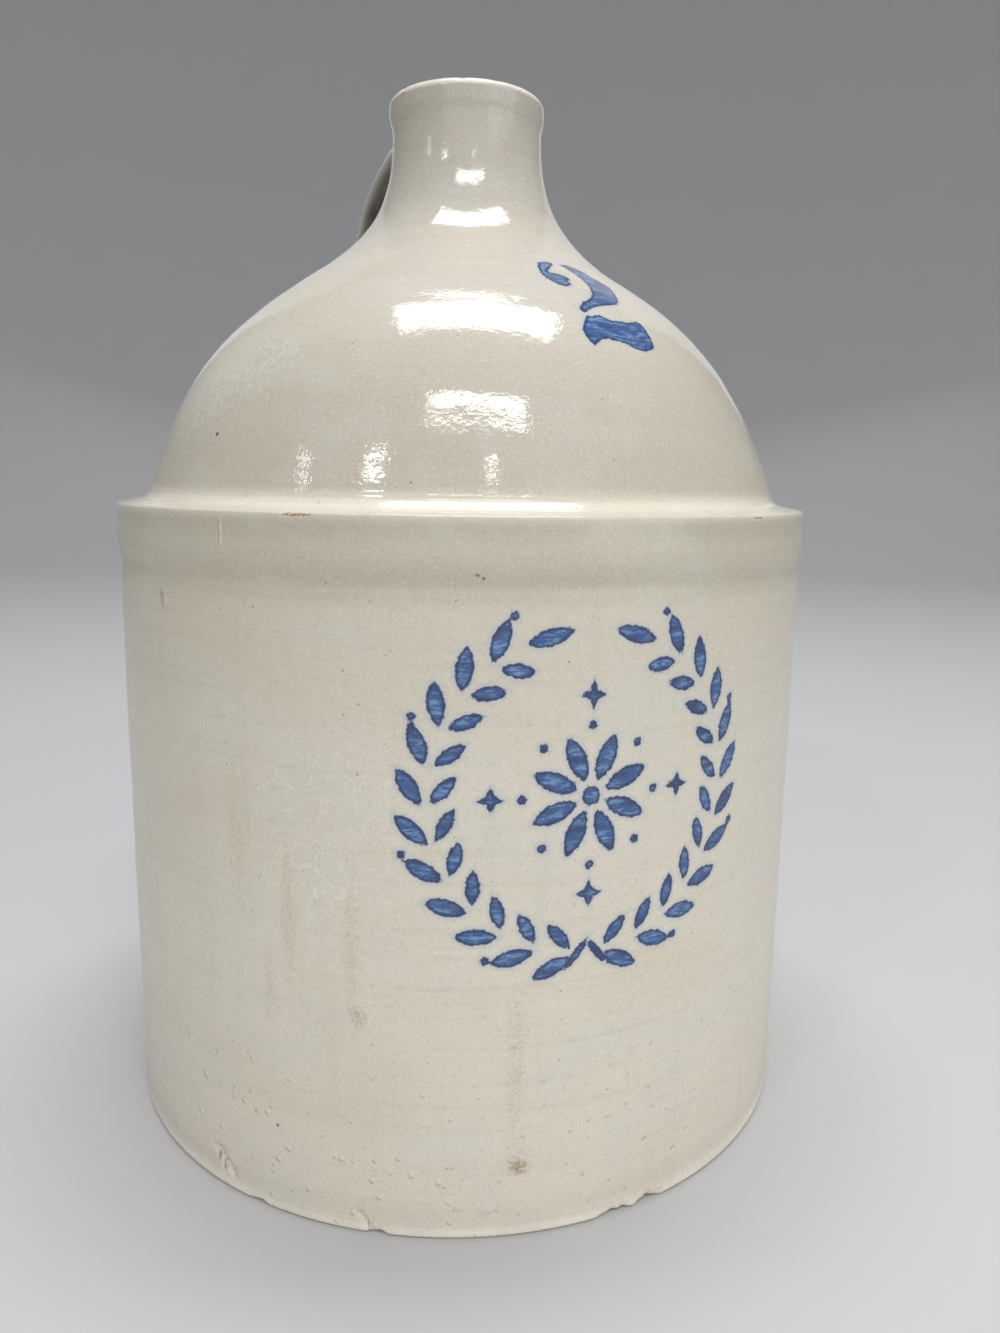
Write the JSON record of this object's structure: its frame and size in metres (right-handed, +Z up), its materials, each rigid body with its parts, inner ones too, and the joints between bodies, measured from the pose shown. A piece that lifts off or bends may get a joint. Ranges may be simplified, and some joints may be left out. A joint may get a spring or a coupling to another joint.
{
  "type": "stoneware crock jug",
  "caption": "White-glazed stoneware shoulder jug for liquids: straight body, ledge, domed shoulder, short neck that takes a cork, and one strap handle.",
  "frame": {"origin": "centre of the foot, on the surface that the jug stands on", "axes": "+Z up through the mouth, +Y towards the handle, -Y the front"},
  "size_m": [0.228, 0.228, 0.3245],
  "materials": {
    "body_glaze": "white feldspar glaze, satin, crazed",
    "shoulder_glaze": "white feldspar glaze, glossy, warm",
    "bare_foot": "unglazed stoneware",
    "slip": "fired joining slip"
  },
  "bodies": {
    "root": {"base_disc": "bare_foot", "body_wall": "body_glaze", "shoulder_dome": "shoulder_glaze", "neck": "shoulder_glaze", "handle": "shoulder_glaze", "base_slip": "slip", "shoulder_slip": "slip", "neck_slip": "slip", "handle_top_slip": "slip", "handle_foot_slip": "slip"}
  },
  "joints": []
}
